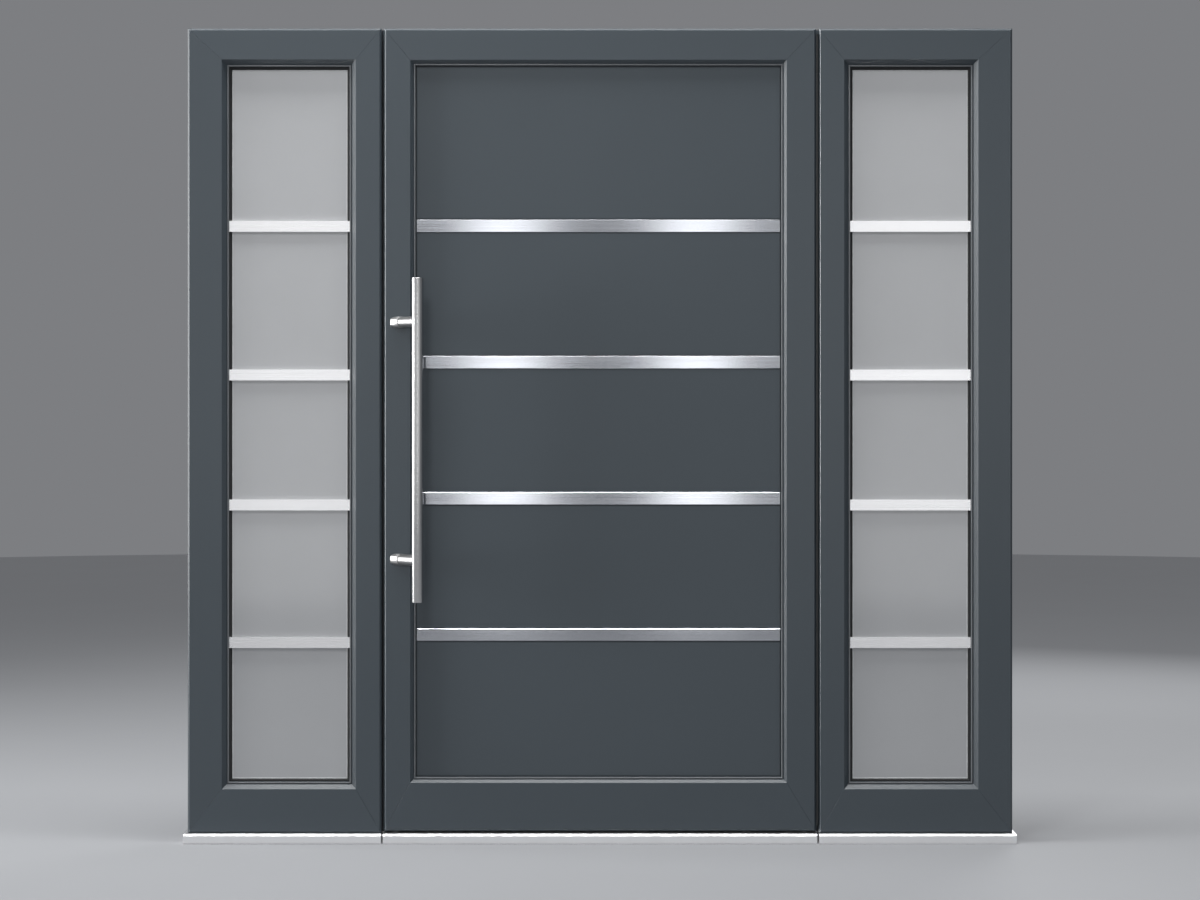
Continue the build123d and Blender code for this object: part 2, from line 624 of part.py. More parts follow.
with BuildPart() as hinge_frame_half:
    hinge_half(1, 1, PIN_RADIUS)
hinge_frame_half.part.label = "hinge_frame_half"
export_step(hinge_frame_half.part, "parts/hinge_frame_half.step")

with BuildPart() as hinge_pin:
    with BuildSketch(Plane.XY.offset(HINGE_BOTTOM)):
        with Locations((HINGE_X, HINGE_Y)):
            Circle(PIN_RADIUS)
    extrude(amount=KNUCKLE_COUNT * KNUCKLE_PITCH)
hinge_pin.part.label = "hinge_pin"
export_step(hinge_pin.part, "parts/hinge_pin.step")
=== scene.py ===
"""Looks of an aluminium entrance door between two glazed sidelights.

The file follows the set as it is put together on site: thresholds, sidelight frames, glazing,
the rebated frame, the leaf with its panel, then the handle, lock and hinge.
Lengths are metres in the part's frame: X to the right seen from outside, Y into the building, Z up.
"""

import bpy
import numpy as np
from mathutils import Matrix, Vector


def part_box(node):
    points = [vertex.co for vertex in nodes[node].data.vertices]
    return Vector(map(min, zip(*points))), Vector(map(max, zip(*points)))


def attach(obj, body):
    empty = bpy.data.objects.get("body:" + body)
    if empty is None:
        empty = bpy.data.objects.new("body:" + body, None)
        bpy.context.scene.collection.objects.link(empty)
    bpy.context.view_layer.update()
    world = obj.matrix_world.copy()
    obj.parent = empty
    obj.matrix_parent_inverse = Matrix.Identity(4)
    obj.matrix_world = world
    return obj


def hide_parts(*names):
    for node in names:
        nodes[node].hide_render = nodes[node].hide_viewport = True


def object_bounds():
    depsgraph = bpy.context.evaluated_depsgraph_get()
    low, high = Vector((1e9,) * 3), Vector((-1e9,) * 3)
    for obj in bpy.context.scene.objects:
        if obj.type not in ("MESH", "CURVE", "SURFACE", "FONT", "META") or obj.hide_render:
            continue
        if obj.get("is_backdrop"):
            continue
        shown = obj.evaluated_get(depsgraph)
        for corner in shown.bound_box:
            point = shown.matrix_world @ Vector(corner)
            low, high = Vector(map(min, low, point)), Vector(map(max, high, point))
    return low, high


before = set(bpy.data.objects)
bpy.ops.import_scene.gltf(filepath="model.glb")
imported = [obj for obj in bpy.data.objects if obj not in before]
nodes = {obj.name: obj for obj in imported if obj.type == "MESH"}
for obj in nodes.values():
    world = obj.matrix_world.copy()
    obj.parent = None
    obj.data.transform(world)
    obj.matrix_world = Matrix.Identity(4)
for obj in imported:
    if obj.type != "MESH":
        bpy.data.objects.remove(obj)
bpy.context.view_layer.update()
scene = bpy.context.scene


# Threshold
# Three lengths of extruded aluminium sill lie under the sidelights and the leaf. They are
# satin anodised, with the fine lines of the extrusion along their length.

def node_group(name, inputs, outputs):
    """A shader node group with named sockets, as its tree, its input node and its output node."""
    group = bpy.data.node_groups.new(name, "ShaderNodeTree")
    for direction, sockets in (("INPUT", inputs), ("OUTPUT", outputs)):
        for socket_name, (kind, value) in sockets.items():
            socket = group.interface.new_socket(socket_name, in_out=direction, socket_type=kind)
            if value is not None:
                socket.default_value = value
    return group, group.nodes.new("NodeGroupInput"), group.nodes.new("NodeGroupOutput")


def add_node(tree, kind, links=None, **settings):
    """A node of one kind with its settings, and its input sockets linked or given values by name."""
    node = tree.nodes.new(kind)
    for key, value in settings.items():
        setattr(node, key, value)
    for key, value in (links or {}).items():
        if isinstance(value, bpy.types.NodeSocket):
            tree.links.new(value, node.inputs[key])
        else:
            node.inputs[key].default_value = value
    return node


ROUGHNESS_SHARE = 0.08


def brushed_lines():
    """Fine parallel lines: two noises stretched by the Stretch vector, one fine and one coarse.

    Colour is the base colour times one plus Depth times the line value, Roughness is the base
    roughness plus a share of the same value, and Height is the value itself.
    """
    group, given, out = node_group(
        "brushed_lines",
        {"Vector": ("NodeSocketVector", None), "Stretch": ("NodeSocketVector", (1.0, 1.0, 1.0)),
         "Colour": ("NodeSocketColor", (0.5, 0.5, 0.5, 1.0)), "Depth": ("NodeSocketFloat", 0.1),
         "Roughness": ("NodeSocketFloat", 0.3)},
        {"Colour": ("NodeSocketColor", None), "Roughness": ("NodeSocketFloat", None),
         "Height": ("NodeSocketFloat", None)})
    stretched = add_node(group, "ShaderNodeVectorMath",
                         {0: given.outputs["Vector"], 1: given.outputs["Stretch"]}, operation="MULTIPLY")
    fine = add_node(group, "ShaderNodeTexNoise",
                    {"Vector": stretched.outputs[0], "Scale": 1.0, "Detail": 4.0, "Roughness": 0.65})
    broad = add_node(group, "ShaderNodeTexNoise",
                     {"Vector": stretched.outputs[0], "Scale": 0.23, "Detail": 2.0, "Roughness": 0.5})
    both = add_node(group, "ShaderNodeMath",
                    {0: fine.outputs["Fac"], 1: broad.outputs["Fac"]}, operation="ADD")
    centred = add_node(group, "ShaderNodeMath", {0: both.outputs[0], 1: 1.0}, operation="SUBTRACT")
    shade = add_node(group, "ShaderNodeMath",
                     {0: centred.outputs[0], 1: given.outputs["Depth"], 2: 1.0}, operation="MULTIPLY_ADD")
    colour = add_node(group, "ShaderNodeVectorMath",
                      {0: given.outputs["Colour"], "Scale": shade.outputs[0]}, operation="SCALE")
    rough = add_node(group, "ShaderNodeMath",
                     {0: centred.outputs[0], 1: ROUGHNESS_SHARE, 2: given.outputs["Roughness"]},
                     operation="MULTIPLY_ADD")
    group.links.new(colour.outputs[0], out.inputs["Colour"])
    group.links.new(rough.outputs[0], out.inputs["Roughness"])
    group.links.new(centred.outputs[0], out.inputs["Height"])
    return group


BRUSHED_LINES = brushed_lines()


def start_material(name):
    """A new node material, as the material, its tree, its shader and its Object coordinates."""
    material = bpy.data.materials.new(name)
    material.use_nodes = True
    tree = material.node_tree
    shader = tree.nodes["Principled BSDF"]
    return material, tree, shader, tree.nodes.new("ShaderNodeTexCoord").outputs["Object"]


def brushed_metal(name, colour, roughness, stretch, depth, relief):
    """Bare metal with fine lines; the lines run along the axis whose stretch is small."""
    material, tree, shader, place = start_material(name)
    lines = add_node(tree, "ShaderNodeGroup", node_tree=BRUSHED_LINES)
    tree.links.new(place, lines.inputs["Vector"])
    lines.inputs["Stretch"].default_value = stretch
    lines.inputs["Colour"].default_value = (*colour, 1.0)
    lines.inputs["Depth"].default_value = depth
    lines.inputs["Roughness"].default_value = roughness
    bump = add_node(tree, "ShaderNodeBump", {"Height": lines.outputs["Height"], "Strength": 1.0,
                                             "Distance": relief})
    shader.inputs["Metallic"].default_value = 1.0
    tree.links.new(lines.outputs["Colour"], shader.inputs["Base Color"])
    tree.links.new(lines.outputs["Roughness"], shader.inputs["Roughness"])
    tree.links.new(bump.outputs["Normal"], shader.inputs["Normal"])
    return material


def finish_node(name, material):
    """Gives a CAD node its material."""
    nodes[name].data.materials.clear()
    nodes[name].data.materials.append(material)


ANODISED = brushed_metal("satin_anodised_sill", (0.86, 0.86, 0.87), roughness=0.42,
                         stretch=(6.0, 2500.0, 2500.0), depth=0.06, relief=0.000001)
for name in ("left_threshold", "door_threshold", "right_threshold"):
    finish_node(name, ANODISED)


# Mitred frames
# Sidelights and leaf are anthracite powder-coated extrusions, sawn at their mitres and
# crimped. The coat is matt, with a faint orange peel and hardly any change of tone.

PEEL_SCALE = 620.0
SPECK_SCALE = 1900.0
TONE_SCALE = 2.2
PEEL_SHARE = 0.12


def powder_coat_group():
    """Orange peel from a fine noise, tone from a broad one with half of a very fine speckle.

    Colour is the base colour times one plus Mottle times the tone about its mean, Roughness is
    the base roughness plus a share of the orange peel, and Height is the orange peel.
    """
    group, given, out = node_group(
        "powder_coat",
        {"Vector": ("NodeSocketVector", None), "Colour": ("NodeSocketColor", (0.1, 0.1, 0.1, 1.0)),
         "Mottle": ("NodeSocketFloat", 0.05), "Roughness": ("NodeSocketFloat", 0.4)},
        {"Colour": ("NodeSocketColor", None), "Roughness": ("NodeSocketFloat", None),
         "Height": ("NodeSocketFloat", None)})
    place = given.outputs["Vector"]
    peel = add_node(group, "ShaderNodeTexNoise",
                    {"Vector": place, "Scale": PEEL_SCALE, "Detail": 2.0, "Roughness": 0.5})
    tone = add_node(group, "ShaderNodeTexNoise",
                    {"Vector": place, "Scale": TONE_SCALE, "Detail": 3.0, "Roughness": 0.55})
    speck = add_node(group, "ShaderNodeTexNoise",
                     {"Vector": place, "Scale": SPECK_SCALE, "Detail": 1.0, "Roughness": 0.5})
    mixed = add_node(group, "ShaderNodeMath",
                     {0: speck.outputs["Fac"], 1: 0.5, 2: tone.outputs["Fac"]}, operation="MULTIPLY_ADD")
    centred = add_node(group, "ShaderNodeMath", {0: mixed.outputs[0], 1: 0.75}, operation="SUBTRACT")
    shade = add_node(group, "ShaderNodeMath",
                     {0: centred.outputs[0], 1: given.outputs["Mottle"], 2: 1.0}, operation="MULTIPLY_ADD")
    colour = add_node(group, "ShaderNodeVectorMath",
                      {0: given.outputs["Colour"], "Scale": shade.outputs[0]}, operation="SCALE")
    level = add_node(group, "ShaderNodeMath", {0: peel.outputs["Fac"], 1: 0.5}, operation="SUBTRACT")
    rough = add_node(group, "ShaderNodeMath",
                     {0: level.outputs[0], 1: PEEL_SHARE, 2: given.outputs["Roughness"]},
                     operation="MULTIPLY_ADD")
    group.links.new(colour.outputs[0], out.inputs["Colour"])
    group.links.new(rough.outputs[0], out.inputs["Roughness"])
    group.links.new(peel.outputs["Fac"], out.inputs["Height"])
    return group


POWDER_COAT = powder_coat_group()


def coated(name, colour, roughness, mottle, relief):
    """Powder coat of one colour on metal."""
    material, tree, shader, place = start_material(name)
    coat = add_node(tree, "ShaderNodeGroup", node_tree=POWDER_COAT)
    tree.links.new(place, coat.inputs["Vector"])
    coat.inputs["Colour"].default_value = (*colour, 1.0)
    coat.inputs["Mottle"].default_value = mottle
    coat.inputs["Roughness"].default_value = roughness
    bump = add_node(tree, "ShaderNodeBump", {"Height": coat.outputs["Height"], "Strength": 1.0,
                                             "Distance": relief})
    tree.links.new(coat.outputs["Colour"], shader.inputs["Base Color"])
    tree.links.new(coat.outputs["Roughness"], shader.inputs["Roughness"])
    tree.links.new(bump.outputs["Normal"], shader.inputs["Normal"])
    return material


ANTHRACITE = (0.0435, 0.0560, 0.0670)
FRAME_COAT = coated("anthracite_frame_coat", ANTHRACITE, roughness=0.33, mottle=0.10, relief=0.000015)
for side in ("left", "right"):
    for member in ("outer_stile", "inner_stile", "top_rail", "bottom_rail", "inner_bead"):
        finish_node(f"{side}_{member}", FRAME_COAT)
for name in ("leaf_latch_stile", "leaf_hinge_stile", "leaf_top_rail", "leaf_bottom_rail",
             "leaf_inner_bead", "latch_jamb", "hinge_jamb", "door_head"):
    finish_node(name, FRAME_COAT)


# Glazing gaskets
# A black rubber wedge is pressed between each outer bead and the glass. It is extruded with
# a rolled lip and a fine groove, and its corners are vulcanised at the mitre.

SHARP_ANGLE = np.radians(35)


def shell_mesh(name, points, looped=False, places=((0.0, 0.0, 0.0),)):
    """A closed mesh from a grid of points whose rows are closed sections, copied to each place.

    Looped sections meet end to end. Others are closed at both ends by a fan to the end section's
    mean point. The faces are turned outwards by the sign of the volume that they enclose.
    """
    rows, columns = points.shape[:2]
    row = np.arange(rows if looped else rows - 1)[:, None] * columns
    next_row = (row + columns) % (rows * columns)
    column = np.arange(columns)[None, :]
    following = (column + 1) % columns
    quads = np.stack([row + column, next_row + column, next_row + following, row + following],
                     axis=-1).reshape(-1, 4)
    vertices, fans = points.reshape(-1, 3), np.empty((0, 3), int)
    if not looped:
        vertices = np.concatenate([vertices, points[[0, -1]].mean(axis=1)])
        here, after, last = column[0], following[0], (rows - 1) * columns
        first_mean = np.full(columns, rows * columns)
        fans = np.concatenate([np.stack([first_mean, here, after], axis=-1),
                               np.stack([first_mean + 1, last + after, last + here], axis=-1)])
    a, b, c = vertices[np.concatenate([quads[:, :3], quads[:, [0, 2, 3]], fans])].transpose(1, 0, 2)
    if np.sum(a * np.cross(b, c)) < 0:
        quads, fans = quads[:, ::-1], fans[:, ::-1]
    copies = (vertices[None] + np.asarray(places, float)[:, None]).reshape(-1, 3)
    starts = np.arange(len(places))[:, None, None] * len(vertices)
    faces = (quads[None] + starts).reshape(-1, 4).tolist() + (fans[None] + starts).reshape(-1, 3).tolist()
    mesh = bpy.data.meshes.new(name)
    mesh.from_pydata(copies.tolist(), [], faces)
    mesh.polygons.foreach_set("use_smooth", np.full(len(faces), True))
    mesh.set_sharp_from_angle(angle=SHARP_ANGLE)
    return mesh


def place_mesh(mesh, body, material, replaces=()):
    """Puts a finished mesh in the scene as a piece that rides on a body."""
    piece = bpy.data.objects.new(mesh.name, mesh)
    scene.collection.objects.link(piece)
    mesh.materials.append(material)
    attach(piece, body)
    if replaces:
        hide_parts(*replaces)


def ring_points(low, high, section):
    """A section carried round a rectangle with mitred corners, as 4 rows of points.

    Row k is corner k. A section point (inward, depth) stands at the corner moved inward by
    the same distance along X and Z, and at that depth along Y.
    """
    corners = np.array([[low[0], low[2]], [high[0], low[2]], [high[0], high[2]], [low[0], high[2]]])
    inward = np.array([[1, 1], [-1, 1], [-1, -1], [1, -1]])
    across = corners[:, None, :] + inward[:, None, :] * section[None, :, :1]
    depth = np.broadcast_to(section[None, :, 1], across.shape[:2])
    return np.stack([across[..., 0], depth, across[..., 1]], axis=-1)


BLOOM_SCALE = 90.0
BLOOM_RELIEF = 0.0001


def rubber(name, colour, roughness):
    """Rubber or plastic of one colour, dull, with a fine bloom."""
    material, tree, shader, place = start_material(name)
    bloom = add_node(tree, "ShaderNodeTexNoise",
                     {"Vector": place, "Scale": BLOOM_SCALE, "Detail": 5.0, "Roughness": 0.6})
    tint = add_node(tree, "ShaderNodeMapRange",
                    {"Value": bloom.outputs["Fac"], "To Min": 0.75, "To Max": 1.3})
    shade = add_node(tree, "ShaderNodeVectorMath",
                     {0: colour, "Scale": tint.outputs[0]}, operation="SCALE")
    skin = add_node(tree, "ShaderNodeBump",
                    {"Height": bloom.outputs["Fac"], "Strength": 0.4, "Distance": BLOOM_RELIEF})
    shader.inputs["Roughness"].default_value = roughness
    tree.links.new(shade.outputs[0], shader.inputs["Base Color"])
    tree.links.new(skin.outputs["Normal"], shader.inputs["Normal"])
    return material


GASKET_RUBBER = rubber("gasket_rubber", (0.010, 0.011, 0.012), roughness=0.70)
GASKET_WIDTH = 0.021
GASKET_GROOVE = 0.0006
GROOVE_START, GROOVE_MIDDLE, GROOVE_END = 0.60, 0.63, 0.66
GASKET_FLAT = 0.74
LIP_DROP = 0.97


def gasket_section(width, depth):
    """The wedge's outline: a flat back, a flat top under the bead, a groove and a rolled lip.

    The lip is a quarter ellipse from the flat top down to the glass. The places of the groove
    and of the flat top's end are shares of the width.
    """
    lip_start, lip_width = GASKET_FLAT * width, (1 - GASKET_FLAT) * width
    angle = np.linspace(0, np.pi / 2, 9)
    lip = np.stack([lip_start + lip_width * np.sin(angle), depth * (1 - np.cos(angle)) * LIP_DROP], axis=-1)
    flat = np.array([[0, depth], [0, 0], [GROOVE_START * width, 0],
                     [GROOVE_MIDDLE * width, GASKET_GROOVE], [GROOVE_END * width, 0]])
    return np.concatenate([flat, lip, [[width, depth]]])


for side in ("left", "right"):
    low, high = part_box(f"{side}_gasket")
    section = gasket_section(GASKET_WIDTH, high.y - low.y)
    section[:, 1] += low.y
    mesh = shell_mesh(f"{side}_glazing_gasket", ring_points(low, high, section), looped=True)
    place_mesh(mesh, "frame", GASKET_RUBBER, [f"{side}_gasket"])


# Inside gaskets
# A slimmer wedge of the same rubber seals each inside bead against the glass or the panel. It is
# pushed in last, from the inside.

INSIDE_BEAD_WIDTH = 0.016
WEDGE_WIDTH = 0.0036
WEDGE_RISE = 0.0040


def inside_wedge(name, body, bead, infill_back):
    """A thin wedge in the corner between the inside bead and the infill.

    Its section is a quarter ellipse: at angle t a point lies the width times sine t from the
    bead and the rise times cosine t from the infill.
    """
    low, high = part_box(bead)
    angle = np.linspace(np.pi / 2, 0, 9)
    curve = np.stack([WEDGE_WIDTH * np.sin(angle), infill_back + WEDGE_RISE * np.cos(angle)], axis=-1)
    section = np.concatenate([[[0.0, infill_back]], curve]) + (INSIDE_BEAD_WIDTH, 0.0)
    mesh = shell_mesh(name, ring_points(low, high, section), looped=True)
    place_mesh(mesh, body, GASKET_RUBBER)


for side in ("left", "right"):
    inside_wedge(f"{side}_inside_gasket", "frame", f"{side}_inner_bead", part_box(f"{side}_glass")[1].y)
inside_wedge("panel_inside_gasket", "leaf", "leaf_inner_bead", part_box("door_panel")[1].y)


# Outer beads
# The beads are clipped in from outside. Each slopes down from the face to the infill and ends
# in a rolled lip. A pale skin on the lip is a painted highlight, a thin line of light all round.

BEAD_COAT = coated("anthracite_bead_coat", ANTHRACITE, roughness=0.42, mottle=0.08, relief=0.00001)
# Painted highlight: the lip's coat is paler than the bead, so that the lip reads as a line of light.
LIP_PAINTED_HIGHLIGHT_COAT = coated("lip_painted_highlight_coat", (0.130, 0.140, 0.150), roughness=0.36, mottle=0.05, relief=0.00001)
LIP_WIDTH = 0.0045
LIP_RISE = 0.0024
HIGHLIGHT_SKIN_LIFT = 0.0002


def outer_bead(name, body, node, width, slope_depth):
    """A bead whose outline is a slope, a half ellipse for the lip and a square back.

    At angle t the lip is half its width times one minus cosine t across, and its rise times
    sine t proud of the foot of the slope. A thin pale skin of the same curve lies on the lip as a
    painted highlight.
    """
    low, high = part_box(node)
    angle = np.linspace(0, np.pi, 13)
    across = width - LIP_WIDTH / 2 * (1 + np.cos(angle))
    lip = np.stack([across, slope_depth - LIP_RISE * np.sin(angle)], axis=-1)
    depth = high.y - low.y
    section = np.concatenate([[[0.0, 0.0]], lip, [[width, depth], [0.0, depth]]])
    section[:, 1] += low.y
    mesh = shell_mesh(name, ring_points(low, high, section), looped=True)
    place_mesh(mesh, body, BEAD_COAT, [node])
    skin = lip - (0.0, HIGHLIGHT_SKIN_LIFT) + (0.0, low.y)
    highlight_lip_mesh = shell_mesh(f"{name}_lip", ring_points(low, high, skin), looped=True)
    place_mesh(highlight_lip_mesh, body, LIP_PAINTED_HIGHLIGHT_COAT)


SIDELIGHT_BEAD_WIDTH, SIDELIGHT_SLOPE_DEPTH = 0.0170, 0.0140
PANEL_BEAD_WIDTH, PANEL_SLOPE_DEPTH = 0.0135, 0.0095

for side in ("left", "right"):
    outer_bead(f"{side}_glazing_bead", "frame", f"{side}_outer_bead",
               SIDELIGHT_BEAD_WIDTH, SIDELIGHT_SLOPE_DEPTH)
outer_bead("panel_glazing_bead", "leaf", "leaf_outer_bead", PANEL_BEAD_WIDTH, PANEL_SLOPE_DEPTH)


# Insulating bands
# Black ribbed plastic joins the outer and inner shells of each hollow extrusion. It shows in
# the shallow recess along the outer edges of the sidelights and of the leaf.

BAND_PLASTIC = rubber("insulating_plastic", (0.016, 0.017, 0.018), roughness=0.42)
BAND_DEPTH = 0.0010
BAND_LOWEST = 0.0006
BAND_RIBS = 3
SIDELIGHT_BAND = (0.0340, 0.0460)
LEAF_BAND = (0.0295, 0.0370)
LEAF_REBATE = 0.032


def insulating_band(name, body, front, back, route):
    """A ribbed band along a route of mitred rows, each a corner and the way that inwards points there.

    Across its width u, from 0 to 1, the band lies below the outer edge by its lowest level
    times the square of the cosine of the ribs times pi u.
    """
    u = np.linspace(0, 1, 37)
    inward = np.append(BAND_LOWEST * np.cos(BAND_RIBS * np.pi * u) ** 2, (BAND_DEPTH, BAND_DEPTH))
    y = np.append(front + (back - front) * u, (back, front))
    corner, way = np.array(route, float).transpose(1, 0, 2)
    flat = corner[:, None, :] + way[:, None, :] * inward[None, :, None]
    rows = np.stack([flat[..., 0], np.broadcast_to(y, flat.shape[:2]), flat[..., 1]], axis=-1)
    place_mesh(shell_mesh(name, rows), body, BAND_PLASTIC)


for side, wall, sign in (("left", 0, 1), ("right", 1, -1)):
    stile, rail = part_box(f"{side}_outer_stile"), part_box(f"{side}_top_rail")
    insulating_band(f"{side}_insulating_band", "frame", *SIDELIGHT_BAND,
                    [((stile[wall].x, stile[0].z), (sign, 0)), ((stile[wall].x, rail[1].z), (sign, -1)),
                     ((rail[1 - wall].x, rail[1].z), (0, -1))])
low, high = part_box("leaf_latch_stile")
edge_x, edge_z = low.x + LEAF_REBATE, high.z - LEAF_REBATE
insulating_band("leaf_insulating_band", "leaf", *LEAF_BAND,
                [((edge_x, low.z), (1, 0)), ((edge_x, edge_z), (1, -1)),
                 ((-edge_x, edge_z), (-1, -1)), ((-edge_x, low.z), (-1, 0))])


# Frame seal
# A hollow rubber bulb runs up one jamb, across the head and down the other. Its foot is
# pressed into the groove of the rebate, and its bulb stands towards the leaf.

SEAL_WIDTH = 0.006
BULB_PROUD = 0.0026


def bulb_seal():
    """The bulb's section carried along three runs, mitred at the two upper corners.

    The section is a foot of constant width with a half ellipse on it: at angle t a point is
    half the width times one minus cosine t across, and the bulb's height times sine t proud.
    """
    low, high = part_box("frame_seal")
    jamb_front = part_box("latch_jamb")[0].y
    angle = np.linspace(0, np.pi, 17)
    bulb = np.stack([SEAL_WIDTH / 2 * (1 - np.cos(angle)), jamb_front - BULB_PROUD * np.sin(angle)], axis=-1)
    section = np.concatenate([[[0.0, high.y]], bulb, [[SEAL_WIDTH, high.y]]])
    across, depth = section.T
    left_x, right_x, top_z, foot_z = low.x + across, high.x - across, high.z - across, low.z + 0 * across
    route = ((left_x, foot_z), (left_x, top_z), (right_x, top_z), (right_x, foot_z))
    rows = np.array([np.stack([x, depth, z], axis=-1) for x, z in route])
    place_mesh(shell_mesh("rebate_bulb_seal", rows), "frame", GASKET_RUBBER, ["frame_seal"])


bulb_seal()


# Sidelight glass
# Sealed units of two panes on a metal spacer. The outer pane is satin glass: even light grey
# in its body, with a smooth clear face that keeps a soft reflection of the room.

GLASS_BODY = (0.47, 0.48, 0.495)
CLOUD_SCALE = 3.0
CLEAR_SHARE = 0.15
COAT_SOFTNESS = 0.08


def satin_glass():
    """Satin glass: a pale scattering body under a clear coat, with a very faint cloudiness."""
    material, tree, shader, place = start_material("satin_glass")
    cloud = add_node(tree, "ShaderNodeTexNoise",
                     {"Vector": place, "Scale": CLOUD_SCALE, "Detail": 4.0, "Roughness": 0.55})
    level = add_node(tree, "ShaderNodeMapRange",
                     {"Value": cloud.outputs["Fac"], "To Min": 0.93, "To Max": 1.07})
    body = add_node(tree, "ShaderNodeVectorMath",
                    {0: GLASS_BODY, "Scale": level.outputs[0]}, operation="SCALE")
    tree.links.new(body.outputs[0], shader.inputs["Base Color"])
    shader.inputs["Roughness"].default_value = 0.5
    shader.inputs["Transmission Weight"].default_value = CLEAR_SHARE
    shader.inputs["Coat Weight"].default_value = 1.0
    shader.inputs["Coat Roughness"].default_value = COAT_SOFTNESS
    return material


SATIN_GLASS = satin_glass()
SPACER = brushed_metal("spacer_bar", (0.35, 0.36, 0.37), roughness=0.45,
                       stretch=(300.0, 300.0, 300.0), depth=0.08, relief=0.00001)
# Painted highlight: the sealant is pale, so the seam between glass and gasket shows as a bright line.
SEAM_HIGHLIGHT_SEALANT = rubber("sealant_painted_highlight", (0.60, 0.61, 0.62), roughness=0.40)
SEALANT_WIDTH = 0.0026
SEALANT_RISE = 0.0010
SEALANT_TUCK = 0.0003


def sealant_highlight_line(side):
    """A thin fillet of sealant where the glass meets the gasket, as a half ellipse, pale as a painted seam
    highlight.
    """
    low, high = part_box(f"{side}_gasket")
    angle = np.linspace(0, np.pi, 13)
    section = np.stack([GASKET_WIDTH - SEALANT_TUCK + SEALANT_WIDTH / 2 * (1 - np.cos(angle)),
                        high.y - SEALANT_RISE * np.sin(angle)], axis=-1)
    place_mesh(shell_mesh(f"{side}_sealant_highlight_line", ring_points(low, high, section), looped=True),
               "frame", SEAM_HIGHLIGHT_SEALANT)


for side in ("left", "right"):
    finish_node(f"{side}_glass", SATIN_GLASS)
    finish_node(f"{side}_glass_spacer", SPACER)
    sealant_highlight_line(side)


# Sidelight bars and panel strips
# Bars of ground stainless steel lie across the glass and let into the leaf's panel. They are
# linished along their length, so that they shine in long soft bands.

ALONG_X = (4.0, 3000.0, 3000.0)
STRIP_STEEL = brushed_metal("linished_steel", (0.60, 0.62, 0.66), roughness=0.12,
                            stretch=ALONG_X, depth=0.03, relief=0.0000002)
BAR_STEEL = brushed_metal("linished_bar_steel", (0.84, 0.84, 0.85), roughness=0.26,
                          stretch=ALONG_X, depth=0.03, relief=0.0000002)
finish_node("panel_strips", STRIP_STEEL)
for side in ("left", "right"):
    finish_node(f"{side}_glass_bars", BAR_STEEL)


# Leaf panel
# An insulated panel faced with coated aluminium sheet, let in behind the leaf's beads. The
# strips lie in routed channels whose edges stay as thin dark lines.

PANEL_COAT = coated("anthracite_panel_coat", ANTHRACITE, roughness=0.46, mottle=0.12, relief=0.000015)
finish_node("door_panel", PANEL_COAT)


# Pull handle
# A round stainless bar on two slanting posts screwed to the latch stile. It is ground round
# its circumference, which leaves a clean bright line down its length.

HANDLE_STEEL = brushed_metal("ground_handle_steel", (0.56, 0.56, 0.56), roughness=0.24,
                             stretch=(60.0, 60.0, 2600.0), depth=0.02, relief=0.00000002)
POST_STEEL = brushed_metal("satin_post_steel", (0.44, 0.44, 0.44), roughness=0.40,
                           stretch=(900.0, 900.0, 900.0), depth=0.02, relief=0.0000001)
BAR_ROUNDING = 0.0012
POST_RADIUS = 0.0140
POST_HEEL = 0.0040
POST_SHOULDERS = ((0.0172, 0.0), (0.0176, -0.0002), (0.0178, -0.0006), (0.0178, -0.0020),
                  (0.0192, -0.0020), (0.0192, -0.0012), (0.0194, -0.0010))
bar_low, bar_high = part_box("pull_bar")
bar_radius = (bar_high.x - bar_low.x) / 2
bar_x, bar_y = bar_low.x + bar_radius, bar_low.y + bar_radius


def smooth_bar():
    """The bar as rings along its length, with a quarter round at each end.

    At angle t of the rounding a ring is drawn in by the rounding times one minus sine t, and
    stands from the end by the rounding times one minus cosine t.
    """
    around = np.linspace(0, 2 * np.pi, 96, endpoint=False)
    turn = np.linspace(0, np.pi / 2, 6)
    radius = np.append(bar_radius / 2, bar_radius - BAR_ROUNDING * (1 - np.sin(turn)))
    rise = np.append(0.0, BAR_ROUNDING * (1 - np.cos(turn)))
    radius = np.append(radius, radius[::-1])[:, None]
    level = np.append(bar_low.z + rise, bar_high.z - rise[::-1])[:, None]
    rows = np.stack([bar_x + radius * np.cos(around), bar_y + radius * np.sin(around),
                     np.broadcast_to(level, (len(level), len(around)))], axis=-1)
    place_mesh(shell_mesh("smooth_pull_bar", rows), "leaf", HANDLE_STEEL, ["pull_bar"])


def slanting_post(height):
    """A post as rings along an axis at 45 degrees, from the stile's face to the axis of the bar.

    The first ring is cut flush with the face, at the distance along the axis of its radius
    times the sine of the angle, and its outermost heel is cut off square. The collar ends in a
    rounded shoulder and a fine groove.
    """
    node = f"{height}_handle_post"
    low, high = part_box(node)
    collar = (high.z - low.z) / 2
    around = np.linspace(0, 2 * np.pi, 72, endpoint=False)
    shoulder = np.array(POST_SHOULDERS)
    distance = np.concatenate([[0.0], shoulder[:, 0], [-bar_y * np.sqrt(2)]])[:, None] + 0 * around
    radius = np.concatenate([[collar], collar + shoulder[:, 1], [POST_RADIUS]])[:, None]
    distance[0] = collar * np.sin(around)
    along, across = np.array([[1, -1, 0], [1, 1, 0]]) / np.sqrt(2)
    foot = np.array([bar_x + bar_y, 0.0, low.z + collar])
    rows = foot + distance[..., None] * along + (radius * np.sin(around))[..., None] * across
    rows[..., 2] += radius * np.cos(around)
    rows[0, :, 0] = np.maximum(rows[0, :, 0], low.x + POST_HEEL)
    place_mesh(shell_mesh(f"smooth_{height}_post", rows), "leaf", POST_STEEL, [node])


smooth_bar()
slanting_post("upper")
slanting_post("lower")


